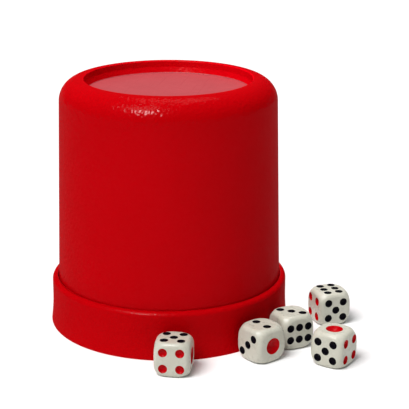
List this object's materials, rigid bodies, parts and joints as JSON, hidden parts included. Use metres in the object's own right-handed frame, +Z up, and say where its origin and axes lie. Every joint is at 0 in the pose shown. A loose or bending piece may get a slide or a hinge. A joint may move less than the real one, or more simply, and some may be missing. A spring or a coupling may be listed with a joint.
{
  "type": "dice cup set",
  "caption": "Plastic shaking cup standing mouth down in a shallow base tray, with loose round-cornered dice lying beside it.",
  "frame": {"origin": "centre of the base tray's underside, on the table that the tray and the dice stand on", "axes": "+Z up along the axis of the cup and tray; -Y towards the side where the first die lies; +X towards the side where the other dice lie"},
  "size_m": [0.1252, 0.1164, 0.1028],
  "materials": {
    "cup_plastic": "satin, fine spark-eroded grain",
    "tray_plastic": "satin, fine spark-eroded grain",
    "dice_plastic": "polished",
    "black_paint": "glossy paint",
    "red_paint": "glossy paint"
  },
  "bodies": {
    "tray": {"base_tray": "tray_plastic"},
    "cup": {"cup": "cup_plastic"},
    "die_1": {"die_1_body": "dice_plastic", "die_1_black_spots": "black_paint", "die_1_red_spots": "red_paint"},
    "die_2": {"die_2_body": "dice_plastic", "die_2_black_spots": "black_paint", "die_2_red_spots": "red_paint"},
    "die_3": {"die_3_body": "dice_plastic", "die_3_black_spots": "black_paint", "die_3_red_spots": "red_paint"},
    "die_4": {"die_4_body": "dice_plastic", "die_4_black_spots": "black_paint", "die_4_red_spots": "red_paint"},
    "die_5": {"die_5_body": "dice_plastic", "die_5_black_spots": "black_paint", "die_5_red_spots": "red_paint"}
  },
  "joints": [
    {"name": "cup_lift", "type": "slide", "parent": "tray", "child": "cup", "axis": [0, 0, 1], "range_m": [0, 0.11]},
    {"name": "die_1_lift", "type": "slide", "parent": "tray", "child": "die_1", "axis": [0, 0, 1], "range_m": [0, 0.04]},
    {"name": "die_2_lift", "type": "slide", "parent": "tray", "child": "die_2", "axis": [0, 0, 1], "range_m": [0, 0.04]},
    {"name": "die_3_lift", "type": "slide", "parent": "tray", "child": "die_3", "axis": [0, 0, 1], "range_m": [0, 0.04]},
    {"name": "die_4_lift", "type": "slide", "parent": "tray", "child": "die_4", "axis": [0, 0, 1], "range_m": [0, 0.04]},
    {"name": "die_5_lift", "type": "slide", "parent": "tray", "child": "die_5", "axis": [0, 0, 1], "range_m": [0, 0.04]}
  ]
}
